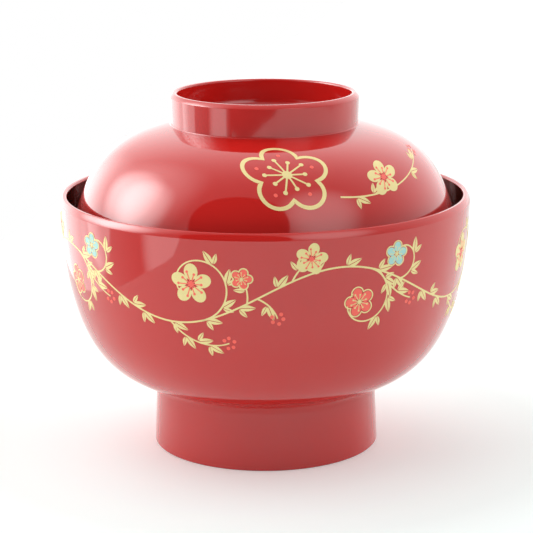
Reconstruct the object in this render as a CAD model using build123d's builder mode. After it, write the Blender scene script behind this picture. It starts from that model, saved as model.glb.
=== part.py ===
from build123d import *
import os

# Lacquered soup bowl with a lid: a deep bowl on a tall foot ring, and a domed lid with a knob ring.
# Millimetres, +Z up. The origin is the centre of the foot ring on the table. Both pieces are turned
# about Z: each is drawn as half a section, with the radius across and the height up, and revolved.

# Bowl: outside
rim_radius = 63.95  # the mouth, 128 mm across
rim_height = 80.2  # top of the lip above the table
foot_radius = 35.55  # foot ring at the table
foot_height = 20.7  # table to the crease between the foot ring and the belly
foot_draft = 0.9  # how far the foot ring draws in on its way up to the crease
belly_sweep = 0.64  # share of the way from foot to rim that the belly runs out before it turns up
belly_rise = 3.0  # how far the belly climbs on that run
shoulder_share = 0.33  # share of the wall's height at which the belly has turned up
shoulder_inset = 1.2  # how far the wall still leans in there
belly_crease_round = 3.6

# Bowl: inside and underneath
floor_rise = 0.5  # inside floor above the crease
floor_thickness = 3.6
hollow_sweep = 0.862  # share of the seat's radius that the inside floor runs out before it turns up
hollow_share = 0.147  # share of the inside wall's height at which it has turned up
foot_wall = 3.2
foot_edge_round = 0.6
recess_round = 4.0

# Lip of the bowl: a bevel outside, a narrow flat on top, a small round inside
lip_thickness = 2.35
lip_bevel_height = 2.0
lip_bulge = 0.12  # how far the bevel stands off a straight one
lip_land = 0.55  # width of the flat
lip_edge_round = 0.7

# Seat: the lid's edge rests on the tapering inside wall, below the lip
seat_depth = 10.7
seat_taper = 1.4  # how far the inside wall draws in from the lip to the seat
seat_clearance = 0.1  # at the lid's bottom corner, before it is rounded

# Lid
lid_height = 41.85  # lid's edge to the top of the knob ring
lid_edge_thickness = 2.0
lid_edge_round = 0.7
lid_floor = 2.3  # between the dish on top and the hollow below
dome_sweep = 0.483  # share of the way from knob to edge that the dome runs out before it turns down
dome_fall = 3.15  # how far the dome falls on that run
dome_share = 0.743  # share of the dome's height at which it has turned down
dome_draft = 5.1  # how far the dome still leans in there
under_sweep = 0.782  # share of the hollow's radius that its top runs out before it turns down
under_draft = 7.4  # how far the hollow's wall leans in where it has turned down

# Knob ring: a low upright band with a dish inside
knob_radius = 29.36
knob_height = 9.85  # crease between the band and the dome to the top of the lip
knob_draft = 0.25  # how far the band draws in on its way down to the crease
knob_wall = 2.45
knob_bevel_height = 1.2
knob_bulge = 0.1
knob_land = 0.5
knob_edge_round = 0.7
knob_crease_round = 0.4
dish_depth = 8.7
dish_round = 2.5

# Places that the two pieces share
crease_radius = foot_radius - foot_draft
mouth_radius = rim_radius - lip_thickness
seat_height = rim_height - seat_depth
seat_radius = mouth_radius - seat_taper
lid_edge_radius = seat_radius - seat_clearance
lid_top = seat_height + lid_height


def lip(outside, inside_radius, top, bulge, land, edge_round):
    """Draw a lip from the outside wall's end over the top to the inside wall, and return its last line."""
    crest = (inside_radius + edge_round + land, top)
    SagittaArc(outside, crest, -bulge)
    flat = Line(crest, (inside_radius + edge_round, top))
    return RadiusArc(flat @ 1, (inside_radius, top - edge_round), -edge_round)


def soften(section, corner, radius):
    """Round the corner of a section that lies nearest to a point."""
    fillet(section.vertices().sort_by_distance(corner)[0], radius=radius)


# Bowl
floor_height = foot_height + floor_rise
recess_top = floor_height - floor_thickness
recess_radius = crease_radius - foot_wall
bevel_foot = rim_height - lip_bevel_height
wall_taper = seat_taper / (seat_depth - lip_edge_round)
hollow_turn = floor_height + hollow_share * (seat_height - floor_height)

with BuildPart() as bowl:
    with BuildSketch(Plane.XZ) as bowl_section:
        with BuildLine():
            belly = Bezier(
                (crease_radius, foot_height),
                (crease_radius + belly_sweep * (rim_radius - crease_radius), foot_height + belly_rise),
                (rim_radius - shoulder_inset, foot_height + shoulder_share * (bevel_foot - foot_height)),
                (rim_radius, bevel_foot),
            )
            lip_round = lip(belly @ 1, mouth_radius, rim_height, lip_bulge, lip_land, lip_edge_round)
            mouth = Line(lip_round @ 1, (seat_radius, seat_height))
            hollow = Bezier(
                mouth @ 1,
                (seat_radius - wall_taper * (seat_height - hollow_turn), hollow_turn),
                (hollow_sweep * seat_radius, floor_height),
                (0, floor_height),
            )
            underside = Polyline(
                hollow @ 1,
                (0, recess_top),
                (recess_radius, recess_top),
                (foot_radius - foot_wall, 0),
                (foot_radius, 0),
                belly @ 0,
            )
        make_face()
        soften(bowl_section, (crease_radius, foot_height), belly_crease_round)
        soften(bowl_section, (recess_radius, recess_top), recess_round)
        soften(bowl_section, (foot_radius - foot_wall, 0), foot_edge_round)
        soften(bowl_section, (foot_radius, 0), foot_edge_round)
    revolve(axis=Axis.Z)
bowl.part.label = "bowl"

# Lid
knob_foot_radius = knob_radius - knob_draft
dish_radius = knob_radius - knob_wall
crease_height = lid_top - knob_height
dish_floor = lid_top - dish_depth
under_top = dish_floor - lid_floor
under_radius = lid_edge_radius - lid_edge_thickness

with BuildPart() as lid:
    with BuildSketch(Plane.XZ) as lid_section:
        with BuildLine():
            dome = Bezier(
                (lid_edge_radius, seat_height),
                (lid_edge_radius - dome_draft, seat_height + dome_share * (crease_height - seat_height)),
                (
                    knob_foot_radius + dome_sweep * (lid_edge_radius - knob_foot_radius),
                    crease_height - dome_fall,
                ),
                (knob_foot_radius, crease_height),
            )
            band = Line(dome @ 1, (knob_radius, lid_top - knob_bevel_height))
            knob_round = lip(band @ 1, dish_radius, lid_top, knob_bulge, knob_land, knob_edge_round)
            dish = Polyline(knob_round @ 1, (dish_radius, dish_floor), (0, dish_floor), (0, under_top))
            under = Bezier(
                dish @ 1,
                (under_sweep * under_radius, under_top),
                (under_radius - under_draft, seat_height + dome_share * (under_top - seat_height)),
                (under_radius, seat_height),
            )
            edge = Line(under @ 1, dome @ 0)
        make_face()
        soften(lid_section, (knob_foot_radius, crease_height), knob_crease_round)
        soften(lid_section, (dish_radius, dish_floor), dish_round)
        soften(lid_section, (under_radius, seat_height), lid_edge_round)
        soften(lid_section, (lid_edge_radius, seat_height), lid_edge_round)
    revolve(axis=Axis.Z)
lid.part.label = "lid"

os.makedirs("parts", exist_ok=True)
export_step(bowl.part, "parts/bowl.step")
export_step(lid.part, "parts/lid.step")
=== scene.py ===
import bisect
import math
from collections import namedtuple

import bmesh
import bpy
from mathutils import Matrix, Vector


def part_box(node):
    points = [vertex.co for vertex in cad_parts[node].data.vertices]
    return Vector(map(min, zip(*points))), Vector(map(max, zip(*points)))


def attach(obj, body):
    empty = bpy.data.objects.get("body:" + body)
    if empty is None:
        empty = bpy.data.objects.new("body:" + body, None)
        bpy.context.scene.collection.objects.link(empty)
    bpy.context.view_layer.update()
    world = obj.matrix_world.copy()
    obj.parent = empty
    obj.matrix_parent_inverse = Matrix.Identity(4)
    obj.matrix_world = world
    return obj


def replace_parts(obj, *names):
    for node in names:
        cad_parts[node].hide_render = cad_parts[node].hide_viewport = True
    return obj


# Lacquered soup bowl with a lid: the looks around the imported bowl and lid. Metres, +Z up, front at -Y.
# Both bodies are turned. Their sections are drawn as lines of (radius, height), and the prints on
# them are drawn flat as (along, up) and then laid on the turned surface.

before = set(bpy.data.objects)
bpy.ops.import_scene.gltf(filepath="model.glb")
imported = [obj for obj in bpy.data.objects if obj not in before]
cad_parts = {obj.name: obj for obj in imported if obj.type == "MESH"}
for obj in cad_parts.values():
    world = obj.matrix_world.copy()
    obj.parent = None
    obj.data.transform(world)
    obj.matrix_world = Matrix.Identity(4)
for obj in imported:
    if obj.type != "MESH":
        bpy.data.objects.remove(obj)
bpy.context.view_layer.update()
_, bowl_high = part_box("bowl")
lid_low, lid_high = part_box("lid")

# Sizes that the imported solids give
RIM_RADIUS = bowl_high.x
RIM_HEIGHT = bowl_high.z
SEAT_HEIGHT = lid_low.z
LID_TOP = lid_high.z

# Bowl's section, as the solid has it
FOOT_RADIUS = 0.03555
FOOT_HEIGHT = 0.0207
FOOT_DRAFT = 0.0009
FOOT_WALL = 0.0032
BELLY_SWEEP = 0.64
BELLY_RISE = 0.003
SHOULDER_SHARE = 0.33
SHOULDER_INSET = 0.0012
FLOOR_HEIGHT = 0.0212
FLOOR_THICKNESS = 0.0036
HOLLOW_SWEEP = 0.862
HOLLOW_SHARE = 0.147
LIP_THICKNESS = 0.00235
LIP_BEVEL_HEIGHT = 0.002
LIP_BULGE = 0.00012
LIP_LAND = 0.00055
LIP_EDGE_ROUND = 0.0007
SEAT_TAPER = 0.0014
SEAT_CLEARANCE = 0.0001

# Lid's section, as the solid has it
LID_EDGE_THICKNESS = 0.002
LID_FLOOR = 0.0023
DOME_SWEEP = 0.483
DOME_FALL = 0.00315
DOME_SHARE = 0.743
DOME_DRAFT = 0.0051
UNDER_SWEEP = 0.782
UNDER_DRAFT = 0.0074
KNOB_RADIUS = 0.02936
KNOB_HEIGHT = 0.00985
KNOB_DRAFT = 0.00025
KNOB_WALL = 0.00245
KNOB_BEVEL_HEIGHT = 0.0012
KNOB_BULGE = 0.0001
KNOB_LAND = 0.0005
KNOB_EDGE_ROUND = 0.0007
DISH_DEPTH = 0.0087

# Rounds at the corners of the sections
BELLY_CREASE_ROUND = 0.0036
FOOT_EDGE_ROUND = 0.0006
RECESS_ROUND = 0.004
LID_EDGE_ROUND = 0.0007
KNOB_CREASE_ROUND = 0.0004
DISH_ROUND = 0.0025

# Small rounds where the solids are sharp
BEVEL_EDGE_ROUND = 0.0002  # at the foot of each lip's bevel
CREST_EDGE_ROUND = 0.0003  # at the top of it

# Places that follow from these
CREASE_RADIUS = FOOT_RADIUS - FOOT_DRAFT
RECESS_RADIUS = CREASE_RADIUS - FOOT_WALL
RECESS_TOP = FLOOR_HEIGHT - FLOOR_THICKNESS
BEVEL_FOOT = RIM_HEIGHT - LIP_BEVEL_HEIGHT
MOUTH_RADIUS = RIM_RADIUS - LIP_THICKNESS
SEAT_RADIUS = MOUTH_RADIUS - SEAT_TAPER
LID_EDGE_RADIUS = SEAT_RADIUS - SEAT_CLEARANCE
UNDER_RADIUS = LID_EDGE_RADIUS - LID_EDGE_THICKNESS
KNOB_FOOT_RADIUS = KNOB_RADIUS - KNOB_DRAFT
KNOB_CREASE = LID_TOP - KNOB_HEIGHT
DISH_RADIUS = KNOB_RADIUS - KNOB_WALL
DISH_FLOOR = LID_TOP - DISH_DEPTH
UNDER_TOP = DISH_FLOOR - LID_FLOOR

# How finely the bodies are made
SECTION_STEP = 0.0009  # spacing of points along a section
CURVE_STEPS = 400  # of a cubic curve, before its points are spaced evenly
BEVEL_STEPS = 10
QUARTER_STEPS = 8
ARC_STEPS = 14
ARC_GUARD = 0.00008  # from the end of an arc to the next point
TURN_SEGMENTS = 256

# Prints: how they lie on the lacquer
PRINT_SINK = 0.00002  # underside of a print below the lacquer's surface
STEM_LIFT = 0.00003  # tops of the prints above it
PETAL_LIFT = 0.00005
MARK_LIFT = 0.00007

# How finely the prints are drawn
PRINT_STEP = 0.0009  # spacing of points along a drawn line
STEM_STEPS = 120  # of one wave, before its points are spaced evenly
TENDRIL_STEPS = 60  # the same for a twig
CIRCLE_STEPS = 20
LOBE_STEPS = 100  # round a blossom's outline
LEAF_STEPS = 8
BLOB_RINGS = (0.02, 0.5)  # rings inside a filled outline, in shares of the way out to it

# Blossoms: their parts in shares of their radius
PETAL_COUNT = 5
PETAL_SEAT = 0.6  # middle of a petal from the heart
PETAL_DEEP = 0.4
PETAL_ACROSS = 0.335
STAMEN_COUNT = 10
STAMEN_ROOT = 0.1
STAMEN_REACHES = (0.62, 0.5)  # by turns
STAMEN_WIDTH = 0.05
STAMEN_TIP = 0.065
HEART = 0.14
BRIGHT_OUTLINE = 1.07  # outline of a coloured blossom

# Leaves and buds
LEAF_LENGTH = 0.0046
LEAF_SHARE = 0.42  # width to length
LEAF_RIB = 0.05  # half of the open midrib, in shares of the width
LEAF_HALF = 0.45  # the painted half beside it, where it is widest
LEAF_BELLY = 0.8  # below 1, that is nearer to the leaf's foot
LEAF_PAIR = ((math.radians(26), 1.0), (math.radians(74), 0.72))  # turn and share of the length
BUD_RADIUS = 0.0006
BUD_TURNS = (0.0, 1.2, -1.2, 2.2, -2.2)  # from the twig's last heading, in radians
BUD_REACH = 0.0017

FRONT = -math.pi / 2  # the photographed side, as an angle about the axis

# Plum scroll round the bowl
SCROLL_WAVES = 4
SCROLL_TURN = math.radians(-2)  # from the front
SCROLL_DEPTH = 0.017  # middle of the scroll below the lip's bevel, along the wall
SCROLL_RISE = 0.0085  # half the height of its waves
STEM_WIDTH = 0.00054
TENDRIL_WIDTH = 0.0004
OUTLINE_WIDTH = 0.00038
STEM_LEAVES = (-0.05, 0.1, -0.14, -0.24, -0.34, -0.44, 0.56, 0.66, 0.76, 0.86, -0.93)

# A blossom has a radius, and its first petal a heading, in radians.
Blossom = namedtuple("Blossom", "radius tilt")
GOLD_BLOSSOM = Blossom(0.0062, 0.3)
CREST_BLOSSOM = Blossom(0.0048, 0.1)
CORAL_BLOSSOM = Blossom(0.0044, 0.6)
BLUE_BLOSSOM = Blossom(0.0036, 0.2)
SMALL_BLOSSOM = Blossom(0.003, 0.0)

# A branch leaves the stem at a share of the wave and at a turn from the stem's heading, and curls
# through a sweep from one radius to another. Its pairs of leaves, like the stem's, stand at shares of
# its length, those on its right hand with a minus sign.
Branch = namedtuple("Branch", "share turn radii sweep leaves")
GOLD_CURL = Branch(-0.165, 0.0, (0.0108, 0.0042), math.radians(330), (-0.17, -0.34, -0.5))
CORAL_CURL = Branch(0.335, 0.0, (0.0098, 0.0034), math.radians(-330), (0.17, 0.34, 0.5))
BLUE_TWIG = Branch(0.45, math.radians(34), (0.0062, 0.0024), math.radians(250), (-0.22, -0.5))
LONG_TWIG = Branch(0.37, math.radians(-37), (0.03, 0.018), math.radians(40), (-0.3, 0.6))
HIGH_TWIG = Branch(-0.03, math.radians(52), (0.012, 0.008), math.radians(45), (0.5,))
CREST_TWIG = Branch(0.1, math.radians(42), (0.017, 0.012), math.radians(-34), (0.4, -0.66))
DEEP_TWIG = Branch(-0.27, math.radians(-48), (0.02, 0.011), math.radians(75), (-0.3, 0.5, -0.68))
LOW_TWIG = Branch(0.0, math.radians(-52), (0.012, 0.008), math.radians(-50), (-0.4,))

# Sprays on the lid
SPRAY_COUNT = 2
SPRAY_TURN = math.radians(20)  # from the front
SPRAY_DEPTH = 0.020  # middle of a spray below the knob's crease, along the dome
LARGE_PLACE = (-0.010, 0.0)  # the large outlined blossom
LARGE_RADIUS = 0.0125
LARGE_WIDTH = 0.0012  # of its outline
LARGE_STAMENS = 0.0105
LARGE_DOTS = 0.0085
SPRAY_BLOSSOM_PLACE = (0.021, -0.004)
SPRAY_BLOSSOM = Blossom(0.0062, 0.4)
SPRAY_TWIG_START = (0.004, -0.0085)
SPRAY_TWIG_HEADING = math.radians(-8)
SPRAY_TWIG_RADII = (0.06, 0.05)
SPRAY_TWIG_SWEEP = math.radians(45)
SPRAY_LEAVES = (-0.12, 0.26, -0.72, 0.86)

# Colours, from the darkest to the lightest spots
RED = (0.525, 0.0132, 0.0111), (0.565, 0.0179, 0.0139)
BLACK = (0.045, 0.014, 0.010), (0.06, 0.018, 0.013)
GOLD = (0.78, 0.63, 0.24), (0.90, 0.78, 0.39)
CORAL = (0.92, 0.10, 0.08), (1.0, 0.16, 0.11)
PALE_BLUE = (0.33, 0.63, 0.60), (0.45, 0.76, 0.70)
WHITE = (1, 1, 1, 1)

# Lacquer. A noise has a scale and a detail, a relief a strength and a depth.
LACQUER_IOR = 1.58
COAT_WEIGHT = 0.25
COAT_IOR = 1.5
COAT_ROUGHNESS = 0.02
RED_POLISH = (0.04, 0.06)  # roughness, from and to
BLACK_POLISH = (0.05, 0.07)
LACQUER_DRIFT = (38.0, 3.0)  # noise of its colour
LACQUER_SHEEN = (900.0, 4.0)  # noise of its roughness
LACQUER_WAVES = (160.0, 1.0)  # noise of its relief
LACQUER_RELIEF = (0.3, 0.00003)

# Prints: the noise of the grain goes into colour, sheen and relief alike
GOLD_GRAIN = (5200.0, 2.0)
GOLD_METAL = (0.05, 0.3)
GOLD_ROUGHNESS = (0.5, 0.32)
COLOUR_GRAIN = (4200.0, 2.0)
COLOUR_ROUGHNESS = (0.3, 0.42)
PRINT_RELIEF = (0.5, 0.00001)

# Camera, fitted to the photograph: 533 pixels across, lens on a 36 mm sensor
CAMERA_PLACE = (0.00118, -0.6022, 0.20024)
CAMERA_PITCH = math.radians(13.5)
CAMERA_ROLL = math.radians(0.31)
CAMERA_LENS = 132.63
CAMERA_SENSOR = 36.0

# Floor: a sheet of paper
FLOOR_CORNERS = (
    (-0.3, -0.38, 0), (-0.02, -0.5, 0), (0.13, -0.52, 0), (0.5, -0.62, 0),
    (0.8, 2.0, 0), (0.2, 2.0, 0), (-0.195, -0.1, 0), (-0.195, -0.19, 0),
)
FLOOR_COLOUR = (0.86, 0.94, 0.925)
FLOOR_ROUGHNESS = 0.7
FLOOR_LIFT = 0.19  # white added to the shadow by the foot, as the camera and the lacquer see it
FLOOR_LIFT_SPAN = (0.04, 0.09)  # distances from the axis between which that fades out
BACKGROUND = 1.0  # white behind the floor

# Studio: round patches by azimuth from the front, positive to the right, and elevation, in degrees. A
# patch fades from one value within its inner angle to another beyond its outer angle. Lights add, shades
# multiply. The lacquer mirrors bright walls and lamps, and softer ones light it, so that no side is lit
# too strongly.
Patch = namedtuple("Patch", "azimuth elevation inner outer middle rim")
MIRRORED = (
    Patch(180, 0, 20, 119, 1.6, 0.52),  # walls
    Patch(-106, 27, 0, 24, 4.1, 0.0),  # soft lamp at the left, its farther half
    Patch(-92, 28, 0, 23, 3.9, 0.0),  # its nearer half
    Patch(-98, 36, 0, 36, 1.5, 0.0),  # its glow
    Patch(-105, -8, 11, 13, 1.5, 0.0),  # bright table beyond the floor's left edge
    Patch(-114, -18, 5, 12, 0.8, 0.0),  # its nearer part
    Patch(-145, -15, 10, 40, 0.9, 0.0),  # bright wall behind it
    Patch(-130, 9, 6, 28, 0.9, 0.0),  # and above it
    Patch(42, 39, 2, 27, 1.6, 0.0),  # soft lamp in front at the right
    Patch(-56, -18, 8, 17, 1.9, 0.0),  # white board in front at the left
)
CAST = (
    Patch(180, 50, 10, 75, 0.9, 0.0),  # from behind and above
    Patch(95, 15, 5, 62, 1.5, 0.0),  # from the right
    Patch(-98, 50, 0, 66, 1.5, 0.0),  # from the left
    Patch(-60, 0, 5, 48, 2.1, 0.0),  # from the left in front
    Patch(42, 39, 2, 27, 1.0, 0.0),  # from the right in front
)
SHADES = (
    Patch(-17.5, 30.3, 28, 29.5, 0.1, 1.0),  # dark round the camera
    Patch(-12, -14, 32, 35, 0.4, 1.0),  # dark in front of the floor
)


def even(points, spacing):
    """The same line with its points a spacing apart or a little closer."""
    lengths = running_lengths(points)
    count = max(1, math.ceil(lengths[-1] / spacing))
    return [along(points, lengths, lengths[-1] * i / count) for i in range(count + 1)]


def running_lengths(points):
    """The length of a line up to each of its points."""
    lengths = [0.0]
    for p, q in zip(points, points[1:]):
        lengths.append(lengths[-1] + (q - p).length)
    return lengths


def along(points, lengths, reach):
    """The point of a line at a length from its start."""
    k = min(max(bisect.bisect_right(lengths, reach) - 1, 0), len(points) - 2)
    share = (reach - lengths[k]) / (lengths[k + 1] - lengths[k])
    return points[k].lerp(points[k + 1], share)


def bezier(a, b, c, d):
    """Evenly spaced points on a cubic curve."""
    a, b, c, d = (Vector(p) for p in (a, b, c, d))
    fine = []
    for i in range(CURVE_STEPS + 1):
        t = i / CURVE_STEPS
        s = 1 - t
        fine.append(s**3 * a + 3 * s * s * t * b + 3 * s * t * t * c + t**3 * d)
    return even(fine, SECTION_STEP)


def line(a, b):
    """Evenly spaced points on a straight line."""
    return even([Vector(a), Vector(b)], SECTION_STEP)


def bowed(a, b, bulge):
    """Points on a shallow arc from a to b that stands off its chord by bulge, to the right of its way."""
    a, b = Vector(a), Vector(b)
    side = Vector(((b - a).y, -(b - a).x)).normalized()
    points = []
    for i in range(BEVEL_STEPS + 1):
        t = i / BEVEL_STEPS
        points.append(a.lerp(b, t) + side * bulge * 4 * t * (1 - t))
    return points


def quarter(a, corner, b):
    """Points on a rounded corner from a to b."""
    a, corner, b = Vector(a), Vector(corner), Vector(b)
    points = []
    for i in range(QUARTER_STEPS + 1):
        angle = 0.5 * math.pi * i / QUARTER_STEPS
        points.append(a + (corner - a) * math.sin(angle) + (b - corner) * (1 - math.cos(angle)))
    return points


def cut_back(points, reach):
    """The line without its last stretch of length reach."""
    points = list(points)
    while len(points) > 2 and (points[-2] - points[-1]).length < reach:
        reach -= (points[-2] - points[-1]).length
        points.pop()
    step = points[-1] - points[-2]
    points[-1] = points[-1] - step * (reach / step.length)
    return points


def soften(first, second, radius):
    """Two runs that meet at a corner, with an arc of a radius over the corner at the end of the first."""
    corner = first[-1]
    half_turn = 0.5 * (corner - first[-2]).angle(second[1] - corner)
    reach = radius * math.tan(half_turn)
    back = second[::-1]
    a, b = cut_back(first, reach)[-1], cut_back(back, reach)[-1]
    pull = math.cos(half_turn)
    arc = []
    for i in range(ARC_STEPS + 1):
        t = i / ARC_STEPS
        weights = (1 - t) ** 2, 2 * t * (1 - t) * pull, t * t
        arc.append((a * weights[0] + corner * weights[1] + b * weights[2]) / sum(weights))
    guard = reach + ARC_GUARD
    return cut_back(first, guard) + arc, arc[-1:] + cut_back(back, guard)[::-1]


def chain(*runs):
    """One line out of runs that follow each other."""
    points = list(runs[0])
    for run in runs[1:]:
        points.extend(run[1:])
    return points


def lip(outside, inside_radius, top, bulge, land, edge_round):
    """Points over a lip: the bevel up from the outside wall's end, and the top over to the inside wall."""
    crest = (inside_radius + edge_round + land, top)
    inner = (inside_radius + edge_round, top)
    inner_round = quarter(inner, (inside_radius, top), (inside_radius, top - edge_round))
    return soften(bowed(outside, crest, bulge), chain(line(crest, inner), inner_round), CREST_EDGE_ROUND)


def rounded(runs, radii):
    """Runs that follow each other, with the corners between them rounded."""
    runs = list(runs)
    for i, radius in enumerate(radii):
        runs[i], runs[i + 1] = soften(runs[i], runs[i + 1], radius)
    return runs


def bowl_outside():
    """The bowl's outside, from the axis under its floor to the lip, and its belly alone."""
    bevel_start = (RIM_RADIUS, BEVEL_FOOT)
    recess_ceiling = line((0, RECESS_TOP), (RECESS_RADIUS, RECESS_TOP))
    recess_wall = line((RECESS_RADIUS, RECESS_TOP), (FOOT_RADIUS - FOOT_WALL, 0))
    foot_face = line((FOOT_RADIUS - FOOT_WALL, 0), (FOOT_RADIUS, 0))
    foot_side = line((FOOT_RADIUS, 0), (CREASE_RADIUS, FOOT_HEIGHT))
    belly = bezier(
        (CREASE_RADIUS, FOOT_HEIGHT),
        (CREASE_RADIUS + BELLY_SWEEP * (RIM_RADIUS - CREASE_RADIUS), FOOT_HEIGHT + BELLY_RISE),
        (RIM_RADIUS - SHOULDER_INSET, FOOT_HEIGHT + SHOULDER_SHARE * (BEVEL_FOOT - FOOT_HEIGHT)),
        bevel_start,
    )
    bevel, lip_top = lip(bevel_start, MOUTH_RADIUS, RIM_HEIGHT, LIP_BULGE, LIP_LAND, LIP_EDGE_ROUND)
    runs = rounded(
        (recess_ceiling, recess_wall, foot_face, foot_side, belly, bevel),
        (RECESS_ROUND, FOOT_EDGE_ROUND, FOOT_EDGE_ROUND, BELLY_CREASE_ROUND, BEVEL_EDGE_ROUND),
    )
    return chain(*runs, lip_top), belly


def bowl_inside():
    """The bowl's inside, from the lip down to the axis."""
    taper = SEAT_TAPER / (RIM_HEIGHT - SEAT_HEIGHT - LIP_EDGE_ROUND)
    hollow_turn = FLOOR_HEIGHT + HOLLOW_SHARE * (SEAT_HEIGHT - FLOOR_HEIGHT)
    mouth = line((MOUTH_RADIUS, RIM_HEIGHT - LIP_EDGE_ROUND), (SEAT_RADIUS, SEAT_HEIGHT))
    hollow = bezier(
        (SEAT_RADIUS, SEAT_HEIGHT),
        (SEAT_RADIUS - taper * (SEAT_HEIGHT - hollow_turn), hollow_turn),
        (HOLLOW_SWEEP * SEAT_RADIUS, FLOOR_HEIGHT),
        (0, FLOOR_HEIGHT),
    )
    return chain(mouth, hollow)


def lid_section():
    """The lid's outside from the axis to its edge, its underside back to the axis, and its dome alone."""
    band_top = (KNOB_RADIUS, LID_TOP - KNOB_BEVEL_HEIGHT)
    dish_bottom = line((0, DISH_FLOOR), (DISH_RADIUS, DISH_FLOOR))
    dish_wall = line((DISH_RADIUS, DISH_FLOOR), (DISH_RADIUS, LID_TOP - KNOB_EDGE_ROUND))
    bevel, lip_top = lip(band_top, DISH_RADIUS, LID_TOP, KNOB_BULGE, KNOB_LAND, KNOB_EDGE_ROUND)
    band = line(band_top, (KNOB_FOOT_RADIUS, KNOB_CREASE))
    dome = bezier(
        (KNOB_FOOT_RADIUS, KNOB_CREASE),
        (KNOB_FOOT_RADIUS + DOME_SWEEP * (LID_EDGE_RADIUS - KNOB_FOOT_RADIUS), KNOB_CREASE - DOME_FALL),
        (LID_EDGE_RADIUS - DOME_DRAFT, SEAT_HEIGHT + DOME_SHARE * (KNOB_CREASE - SEAT_HEIGHT)),
        (LID_EDGE_RADIUS, SEAT_HEIGHT),
    )
    edge = line((LID_EDGE_RADIUS, SEAT_HEIGHT), (UNDER_RADIUS, SEAT_HEIGHT))
    under = bezier(
        (UNDER_RADIUS, SEAT_HEIGHT),
        (UNDER_RADIUS - UNDER_DRAFT, SEAT_HEIGHT + DOME_SHARE * (UNDER_TOP - SEAT_HEIGHT)),
        (UNDER_SWEEP * UNDER_RADIUS, UNDER_TOP),
        (0, UNDER_TOP),
    )
    dish = rounded((dish_bottom, dish_wall), (DISH_ROUND,))
    *outer, under = rounded(
        (bevel[::-1], band, dome, edge, under),
        (BEVEL_EDGE_ROUND, KNOB_CREASE_ROUND, LID_EDGE_ROUND, LID_EDGE_ROUND),
    )
    return chain(*dish, lip_top[::-1], *outer), under, dome


def new_piece(name, build, materials):
    """An object from a finished bmesh, with its normals outward and its materials in order."""
    bmesh.ops.recalc_face_normals(build, faces=build.faces)
    mesh = bpy.data.meshes.new(name)
    build.to_mesh(mesh)
    build.free()
    for material in materials:
        mesh.materials.append(material)
    piece = bpy.data.objects.new(name, mesh)
    bpy.context.scene.collection.objects.link(piece)
    return piece


def turned(name, outside, inside, materials):
    """A closed body of revolution: the outside takes the first material, the inside the second."""
    build = bmesh.new()
    angles = spaced(0.0, TURN_SEGMENTS)
    rings = []
    for p in outside + inside[1:]:
        on_axis = p.x <= SECTION_STEP / 2
        ring = []
        for angle in angles[:1] if on_axis else angles:
            ring.append(build.verts.new((p.x * math.cos(angle), p.x * math.sin(angle), p.y)))
        rings.append(ring)
    for k, (low, high) in enumerate(zip(rings, rings[1:])):
        for i in range(TURN_SEGMENTS):
            j = (i + 1) % TURN_SEGMENTS
            corners = [low[i % len(low)], low[j % len(low)], high[j % len(high)], high[i % len(high)]]
            face = build.faces.new(list(dict.fromkeys(corners)))
            face.smooth = True
            face.material_index = 0 if k < len(outside) - 1 else 1
    return new_piece(name, build, materials)


class Drawing:
    """Shapes drawn flat in one colour: points as (along, up, lift), and the faces between them."""

    def __init__(self):
        self.points = []
        self.faces = []

    def rows(self, rows, lift, closed=False):
        """Fill the strips between rows of equally many points."""
        first = len(self.points)
        count = len(rows[0])
        for row in rows:
            self.points.extend((p.x, p.y, lift) for p in row)
        for r in range(len(rows) - 1):
            low = first + r * count
            high = low + count
            for c in range(count if closed else count - 1):
                d = (c + 1) % count
                self.faces.append((low + c, low + d, high + d, high + c))

    def ribbon(self, points, start_width, end_width, lift, closed=False):
        """A painted line whose width runs from one value to another."""
        left, right = [], []
        last = len(points) - 1
        for i, p in enumerate(points):
            before = points[i - 1] if i > 0 or closed else p
            after = points[(i + 1) % len(points)] if i < last or closed else p
            way = (after - before).normalized()
            half = 0.5 * (start_width + (end_width - start_width) * i / last)
            side = Vector((-way.y, way.x)) * half
            left.append(p + side)
            right.append(p - side)
        self.rows((left, right), lift, closed)

    def blob(self, middle, outline, lift):
        """A filled closed outline round a middle point."""
        first = len(self.points)
        rings = [[middle.lerp(p, share) for p in outline] for share in BLOB_RINGS]
        self.rows((*rings, outline), lift, closed=True)
        self.faces.append(tuple(range(first, first + len(outline))))

    def dot(self, middle, radius, lift):
        """A round spot."""
        self.blob(middle, circle(middle, radius, radius, 0), lift)

    def leaf(self, foot, heading, length, width, lift):
        """A pointed leaf in two halves, with its midrib left open."""
        way = heading_vector(heading)
        side = Vector((-way.y, way.x))
        for hand in (1, -1):
            rib, edge = [], []
            for i in range(LEAF_STEPS + 1):
                t = i / LEAF_STEPS
                p = foot + way * length * t
                swell = math.sin(math.pi * t**LEAF_BELLY)
                rib.append(p + side * hand * LEAF_RIB * width)
                edge.append(p + side * hand * (LEAF_RIB + LEAF_HALF * swell) * width)
            self.rows((rib, edge), lift)


def heading_vector(heading):
    """The unit step along a heading."""
    return Vector((math.cos(heading), math.sin(heading)))


def spaced(first, count):
    """Angles spaced evenly over a full turn from the first one."""
    return [first + 2 * math.pi * i / count for i in range(count)]


def circle(middle, across, deep, heading):
    """Points round an ellipse whose deep radius lies along a heading."""
    way = heading_vector(heading)
    side = Vector((-way.y, way.x))
    points = []
    for angle in spaced(0.0, CIRCLE_STEPS):
        points.append(middle + way * deep * math.cos(angle) + side * across * math.sin(angle))
    return points


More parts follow.
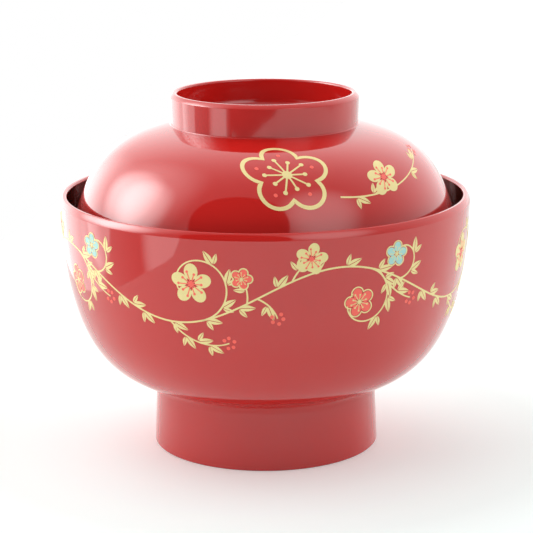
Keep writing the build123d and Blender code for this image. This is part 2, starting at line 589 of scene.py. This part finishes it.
def tendril(start, heading, radii, sweep):
    """A line that leaves a point at a heading and curls through an angle, with its last heading."""
    points = [Vector(start)]
    step = sweep / TENDRIL_STEPS
    for i in range(TENDRIL_STEPS):
        radius = radii[0] + (radii[1] - radii[0]) * (i + 0.5) / TENDRIL_STEPS
        heading += 0.5 * step
        points.append(points[-1] + heading_vector(heading) * radius * abs(step))
        heading += 0.5 * step
    return even(points, PRINT_STEP), heading


def leaves(drawing, path, places, length):
    """Pairs of leaves along a line at shares of its length: a minus sign puts a pair on the right hand."""
    lengths = running_lengths(path)
    for place in places:
        reach = abs(place) * lengths[-1]
        foot = along(path, lengths, reach)
        way = along(path, lengths, reach + PRINT_STEP) - foot
        for turn, share in LEAF_PAIR:
            heading = math.atan2(way.y, way.x) + math.copysign(turn, place)
            clear = heading_vector(heading) * STEM_WIDTH
            drawing.leaf(foot + clear, heading, share * length, LEAF_SHARE * share * length, STEM_LIFT)


def petals(drawing, middle, radius, tilt):
    """The round petals of a plum blossom."""
    for heading in spaced(tilt, PETAL_COUNT):
        seat = middle + heading_vector(heading) * PETAL_SEAT * radius
        drawing.blob(seat, circle(seat, PETAL_ACROSS * radius, PETAL_DEEP * radius, heading), PETAL_LIFT)


def lobes(drawing, middle, radius, tilt, width):
    """The outline of a plum blossom, a lobe for each petal."""
    points = []
    lobe = 2 * math.pi / PETAL_COUNT
    for angle in spaced(0.0, LOBE_STEPS):
        off = (angle + lobe / 2) % lobe - lobe / 2
        reach = PETAL_SEAT * math.cos(off)
        reach += math.sqrt(PETAL_DEEP**2 - (PETAL_SEAT * math.sin(off)) ** 2)
        points.append(middle + heading_vector(angle + tilt) * reach * radius)
    drawing.ribbon(points, width, width, PETAL_LIFT, closed=True)


def stamens(drawing, middle, radius, tilt):
    """A ring of stamens round the heart of a blossom."""
    for i in range(STAMEN_COUNT):
        way = heading_vector(tilt + 2 * math.pi * (i + 0.5) / STAMEN_COUNT) * radius
        reach = STAMEN_REACHES[i % len(STAMEN_REACHES)]
        stamen = even([middle + way * STAMEN_ROOT, middle + way * reach], PRINT_STEP)
        drawing.ribbon(stamen, STAMEN_WIDTH * radius, STAMEN_WIDTH * radius, MARK_LIFT)
        drawing.dot(middle + way * reach, STAMEN_TIP * radius, MARK_LIFT)
    drawing.dot(middle, HEART * radius, MARK_LIFT)


class Design:
    """A design drawn flat in gold, coral and pale blue."""

    def __init__(self):
        self.gold, self.coral, self.blue = Drawing(), Drawing(), Drawing()

    def twig(self, start, heading, radii, sweep, leaf_places):
        """A leafy twig that curls away from a point: its end and its heading there."""
        path, heading = tendril(start, heading, radii, sweep)
        self.gold.ribbon(path, STEM_WIDTH, TENDRIL_WIDTH, STEM_LIFT)
        leaves(self.gold, path, leaf_places, LEAF_LENGTH)
        return path[-1], heading

    def gold_plum(self, middle, radius, tilt):
        """A gold blossom with coral stamens."""
        petals(self.gold, middle, radius, tilt)
        stamens(self.coral, middle, radius, tilt)

    def bright_plum(self, colour, middle, radius, tilt):
        """A coloured blossom outlined in gold, with gold stamens."""
        petals(colour, middle, radius, tilt)
        lobes(self.gold, middle, BRIGHT_OUTLINE * radius, tilt, OUTLINE_WIDTH)
        stamens(self.gold, middle, radius, tilt)

    def buds(self, end, heading):
        """Round coral buds about the end of a twig."""
        for turn in BUD_TURNS:
            self.coral.dot(end + heading_vector(heading + turn) * BUD_REACH, BUD_RADIUS, PETAL_LIFT)


def stem_point(share, period):
    """The scroll's stem at a share of its wave: its point and its heading."""
    angle = 2 * math.pi * share
    slope = SCROLL_RISE * 2 * math.pi / period * math.cos(angle)
    return Vector((share * period, SCROLL_RISE * math.sin(angle))), math.atan(slope)


def plum_scroll(period):
    """One wave of the scroll: a leafy stem, two curls round blossoms, and twigs with blossoms and buds."""
    design = Design()
    shares = [i / STEM_STEPS - 0.5 for i in range(STEM_STEPS + 1)]
    stem = even([stem_point(share, period)[0] for share in shares], PRINT_STEP)
    design.gold.ribbon(stem, STEM_WIDTH, STEM_WIDTH, STEM_LIFT)
    leaves(design.gold, stem, STEM_LEAVES, LEAF_LENGTH)

    def grow(branch):
        """A branch on the stem: its end and its heading there."""
        start, heading = stem_point(branch.share, period)
        return design.twig(start, heading + branch.turn, branch.radii, branch.sweep, branch.leaves)

    def curl(branch):
        """A branch on the stem: the middle that it curls round at its end."""
        end, heading = grow(branch)
        return end + heading_vector(heading + math.copysign(math.pi / 2, branch.sweep)) * branch.radii[1]

    design.gold_plum(curl(GOLD_CURL), *GOLD_BLOSSOM)
    design.bright_plum(design.coral, curl(CORAL_CURL), *CORAL_BLOSSOM)
    design.bright_plum(design.blue, grow(BLUE_TWIG)[0], *BLUE_BLOSSOM)
    design.bright_plum(design.coral, grow(HIGH_TWIG)[0], *SMALL_BLOSSOM)
    design.gold_plum(grow(CREST_TWIG)[0], *CREST_BLOSSOM)
    design.buds(*grow(LONG_TWIG))
    design.buds(*grow(DEEP_TWIG))
    design.buds(*grow(LOW_TWIG))
    return design


def lid_spray():
    """A large outlined blossom beside a small gold one on a leafy twig."""
    design = Design()
    upright = math.pi / 2
    large = Vector(LARGE_PLACE)
    lobes(design.gold, large, LARGE_RADIUS, upright, LARGE_WIDTH)
    stamens(design.gold, large, LARGE_STAMENS, upright)
    for heading in spaced(upright, PETAL_COUNT):
        design.coral.dot(large + heading_vector(heading) * LARGE_DOTS, BUD_RADIUS, PETAL_LIFT)
    design.gold_plum(Vector(SPRAY_BLOSSOM_PLACE), *SPRAY_BLOSSOM)
    start = Vector(SPRAY_TWIG_START)
    end = design.twig(start, SPRAY_TWIG_HEADING, SPRAY_TWIG_RADII, SPRAY_TWIG_SWEEP, SPRAY_LEAVES)
    design.buds(*end)
    return design


def border(faces):
    """The edges that only one of the faces has."""
    counts = {}
    for face in faces:
        for a, b in zip(face, face[1:] + face[:1]):
            key = (min(a, b), max(a, b))
            counts[key] = counts.get(key, 0) + 1
    return [key for key, count in counts.items() if count == 1]


def laid(name, drawing, skin, depth, middles, gauge, material):
    """A drawing laid on a turned surface as a thin closed shell, once at each middle angle.

    With a gauge, widths are those at that radius, so that waves meet at any height. Without one, they
    are true at every height.
    """
    lengths = running_lengths(skin)
    build = bmesh.new()

    def spot(x, y, lift, middle):
        """The place of a drawn point on the body."""
        reach = depth - y
        p = along(skin, lengths, reach)
        way = along(skin, lengths, reach + PRINT_STEP) - p
        angle = middle + x / (gauge or p.x)
        p = p + Vector((-way.y, way.x)).normalized() * lift
        return p.x * math.cos(angle), p.x * math.sin(angle), p.y

    edges = border(drawing.faces)
    for middle in middles:
        top = [build.verts.new(spot(x, y, lift, middle)) for x, y, lift in drawing.points]
        under = [build.verts.new(spot(x, y, -PRINT_SINK, middle)) for x, y, lift in drawing.points]
        for face in drawing.faces:
            build.faces.new([top[i] for i in face]).smooth = True
            build.faces.new([under[i] for i in reversed(face)])
        for a, b in edges:
            build.faces.new((top[a], top[b], under[b], under[a]))
            build.edges.get((top[a], top[b])).smooth = False
    return new_piece(name, build, (material,))


def new_material(name):
    """A node material with its nodes, links and shader."""
    material = bpy.data.materials.new(name)
    material.use_nodes = True
    nodes = material.node_tree.nodes
    return material, nodes, material.node_tree.links, nodes["Principled BSDF"]


def noise(nodes, links, scale, detail):
    """A noise over the object's own coordinates."""
    place = nodes.new("ShaderNodeTexCoord")
    texture = nodes.new("ShaderNodeTexNoise")
    texture.inputs["Scale"].default_value = scale
    texture.inputs["Detail"].default_value = detail
    links.new(place.outputs["Object"], texture.inputs["Vector"])
    return texture.outputs["Fac"]


def blend(nodes, links, factor, dark, light, socket):
    """A colour between two, by a factor, into a socket."""
    mix = nodes.new("ShaderNodeMix")
    mix.data_type = "RGBA"
    mix.inputs["A"].default_value = (*dark, 1)
    mix.inputs["B"].default_value = (*light, 1)
    links.new(factor, mix.inputs["Factor"])
    links.new(mix.outputs["Result"], socket)


def ramp(nodes, links, value, span, low, high):
    """A node whose result runs from low to high while a value runs through a span."""
    node = nodes.new("ShaderNodeMapRange")
    node.inputs["From Min"].default_value, node.inputs["From Max"].default_value = span
    node.inputs["To Min"].default_value = low
    node.inputs["To Max"].default_value = high
    links.new(value, node.inputs["Value"])
    return node


def spread(nodes, links, factor, low, high, socket):
    """A number between two, by a factor, into a socket."""
    links.new(ramp(nodes, links, factor, (0, 1), low, high).outputs["Result"], socket)


def emboss(nodes, links, height, strength, distance, shader):
    """A relief that a height gives a shader."""
    relief = nodes.new("ShaderNodeBump")
    relief.inputs["Strength"].default_value = strength
    relief.inputs["Distance"].default_value = distance
    links.new(height, relief.inputs["Height"])
    links.new(relief.outputs["Normal"], shader.inputs["Normal"])


def lacquer(name, colours, polish):
    """Polished lacquer: its colour drifts, its gloss is a little uneven, and a thin clear coat covers it."""
    material, nodes, links, shader = new_material(name)
    shader.inputs["IOR"].default_value = LACQUER_IOR
    shader.inputs["Coat Weight"].default_value = COAT_WEIGHT
    shader.inputs["Coat IOR"].default_value = COAT_IOR
    shader.inputs["Coat Roughness"].default_value = COAT_ROUGHNESS
    blend(nodes, links, noise(nodes, links, *LACQUER_DRIFT), *colours, shader.inputs["Base Color"])
    spread(nodes, links, noise(nodes, links, *LACQUER_SHEEN), *polish, shader.inputs["Roughness"])
    emboss(nodes, links, noise(nodes, links, *LACQUER_WAVES), *LACQUER_RELIEF, shader)
    return material


def printed_gold(name, colours):
    """Gold powder print: bright and dull grains, part metal and part binder."""
    material, nodes, links, shader = new_material(name)
    grain = noise(nodes, links, *GOLD_GRAIN)
    blend(nodes, links, grain, *colours, shader.inputs["Base Color"])
    spread(nodes, links, grain, *GOLD_METAL, shader.inputs["Metallic"])
    spread(nodes, links, grain, *GOLD_ROUGHNESS, shader.inputs["Roughness"])
    emboss(nodes, links, grain, *PRINT_RELIEF, shader)
    return material


def printed_colour(name, colours):
    """Printed colour with a fine grain."""
    material, nodes, links, shader = new_material(name)
    grain = noise(nodes, links, *COLOUR_GRAIN)
    blend(nodes, links, grain, *colours, shader.inputs["Base Color"])
    spread(nodes, links, grain, *COLOUR_ROUGHNESS, shader.inputs["Roughness"])
    emboss(nodes, links, grain, *PRINT_RELIEF, shader)
    return material


def add_camera():
    """The camera at the photograph's place."""
    data = bpy.data.cameras.new("camera")
    data.lens = CAMERA_LENS
    data.sensor_width = CAMERA_SENSOR
    camera = bpy.data.objects.new("camera", data)
    camera.location = CAMERA_PLACE
    camera.rotation_euler = (math.pi / 2 - CAMERA_PITCH, CAMERA_ROLL, 0)
    bpy.context.scene.collection.objects.link(camera)
    bpy.context.scene.camera = camera


def paper():
    """White paper, with the shadow by the foot lifted as the camera and the lacquer see it."""
    material, nodes, links, shader = new_material("floor")
    shader.inputs["Base Color"].default_value = (*FLOOR_COLOUR, 1)
    shader.inputs["Roughness"].default_value = FLOOR_ROUGHNESS
    shader.inputs["Emission Color"].default_value = WHITE
    reach = nodes.new("ShaderNodeVectorMath")
    reach.operation = "LENGTH"
    links.new(nodes.new("ShaderNodeTexCoord").outputs["Object"], reach.inputs[0])
    lift = ramp(nodes, links, reach.outputs["Value"], FLOOR_LIFT_SPAN, FLOOR_LIFT, 0.0)
    path = nodes.new("ShaderNodeLightPath").outputs
    seen = combine(nodes, links, "MAXIMUM", path["Is Camera Ray"], path["Is Glossy Ray"])
    glow = combine(nodes, links, "MULTIPLY", seen, lift.outputs["Result"])
    links.new(glow, shader.inputs["Emission Strength"])
    return material


def add_floor():
    """A sheet of white paper under the object. Beyond its left edge the lacquer mirrors a brighter table."""
    mesh = bpy.data.meshes.new("floor")
    mesh.from_pydata(FLOOR_CORNERS, [], [range(len(FLOOR_CORNERS))])
    mesh.materials.append(paper())
    floor = bpy.data.objects.new("floor", mesh)
    bpy.context.scene.collection.objects.link(floor)


def dot(nodes, links, vector, way):
    """The share of a vector that lies along a way."""
    product = nodes.new("ShaderNodeVectorMath")
    product.operation = "DOT_PRODUCT"
    product.inputs[1].default_value = way
    links.new(vector, product.inputs[0])
    return product.outputs["Value"]


def toward(azimuth, elevation):
    """The direction at an azimuth from the front, positive to the right, and an elevation, in degrees."""
    side, rise = math.radians(azimuth), math.radians(elevation)
    return math.sin(side) * math.cos(rise), -math.cos(side) * math.cos(rise), math.sin(rise)


def patch(nodes, links, sky, spot):
    """A round patch of the studio: one value within its inner angle, another beyond its outer angle."""
    nearness = dot(nodes, links, sky, toward(spot.azimuth, spot.elevation))
    span = [math.cos(math.radians(angle)) for angle in (spot.outer, spot.inner)]
    fade = ramp(nodes, links, nearness, span, spot.rim, spot.middle)
    fade.interpolation_type = "SMOOTHSTEP"
    return fade.outputs["Result"]


def combine(nodes, links, operation, first, second):
    """Two values in one."""
    step = nodes.new("ShaderNodeMath")
    step.operation = operation
    links.new(first, step.inputs[0])
    links.new(second, step.inputs[1])
    return step.outputs["Value"]


def studio(nodes, links, sky, lights):
    """The light of a set of patches, shaded."""
    light = patch(nodes, links, sky, lights[0])
    for other in lights[1:]:
        light = combine(nodes, links, "ADD", light, patch(nodes, links, sky, other))
    for shade in SHADES:
        light = combine(nodes, links, "MULTIPLY", light, patch(nodes, links, sky, shade))
    return light


def choose(nodes, links, factor, usual):
    """A node that gives the usual value, or its second one where a factor is 1."""
    mix = nodes.new("ShaderNodeMix")
    links.new(factor, mix.inputs["Factor"])
    links.new(usual, mix.inputs["A"])
    return mix


def set_world():
    """The studio: one light to be mirrored, another to be cast, and plain white for the camera."""
    world = bpy.data.worlds.new("studio")
    bpy.context.scene.world = world
    world.use_nodes = True
    nodes, links = world.node_tree.nodes, world.node_tree.links
    sky = nodes.new("ShaderNodeTexCoord").outputs["Generated"]
    path = nodes.new("ShaderNodeLightPath").outputs
    light = choose(nodes, links, path["Is Glossy Ray"], studio(nodes, links, sky, CAST))
    links.new(studio(nodes, links, sky, MIRRORED), light.inputs["B"])
    seen = choose(nodes, links, path["Is Camera Ray"], light.outputs["Result"])
    seen.inputs["B"].default_value = BACKGROUND
    links.new(seen.outputs["Result"], nodes["Background"].inputs["Strength"])
    nodes["Background"].inputs["Color"].default_value = WHITE


def lay_print(body, design, skin, depth, middles, gauge, materials):
    """A design laid on a body at each middle angle, one piece for each colour that it has."""
    for drawing, material in zip((design.gold, design.coral, design.blue), materials):
        if drawing.faces:
            piece = laid(f"{body}_{material.name}", drawing, skin, depth, middles, gauge, material)
            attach(piece, body)


def print_bowl(belly, materials):
    """The plum scroll round the bowl."""
    skin = belly[::-1]
    gauge = along(skin, running_lengths(skin), SCROLL_DEPTH).x
    design = plum_scroll(2 * math.pi * gauge / SCROLL_WAVES)
    middles = spaced(FRONT + SCROLL_TURN, SCROLL_WAVES)
    lay_print("bowl", design, skin, SCROLL_DEPTH, middles, gauge, materials)


def print_lid(dome, materials):
    """The sprays round the lid."""
    middles = spaced(FRONT + SPRAY_TURN, SPRAY_COUNT)
    lay_print("lid", lid_spray(), dome, SPRAY_DEPTH, middles, None, materials)


def main():
    """The stage, the materials, and the two bodies with their prints."""
    bpy.context.scene.view_settings.view_transform = "Standard"
    add_camera()
    add_floor()
    set_world()
    red = lacquer("red_lacquer", RED, RED_POLISH)
    black = lacquer("black_lacquer", BLACK, BLACK_POLISH)
    gold = printed_gold("gold_print", GOLD)
    coral = printed_colour("coral_print", CORAL)
    blue = printed_colour("pale_blue_print", PALE_BLUE)
    outside, belly = bowl_outside()
    bowl = turned("bowl_lacquer", outside, bowl_inside(), (red, black))
    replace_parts(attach(bowl, "bowl"), "bowl")
    outside, inside, dome = lid_section()
    lid = turned("lid_lacquer", outside, inside, (red, black))
    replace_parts(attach(lid, "lid"), "lid")
    print_bowl(belly, (gold, coral, blue))
    print_lid(dome, (gold, coral, blue))


main()
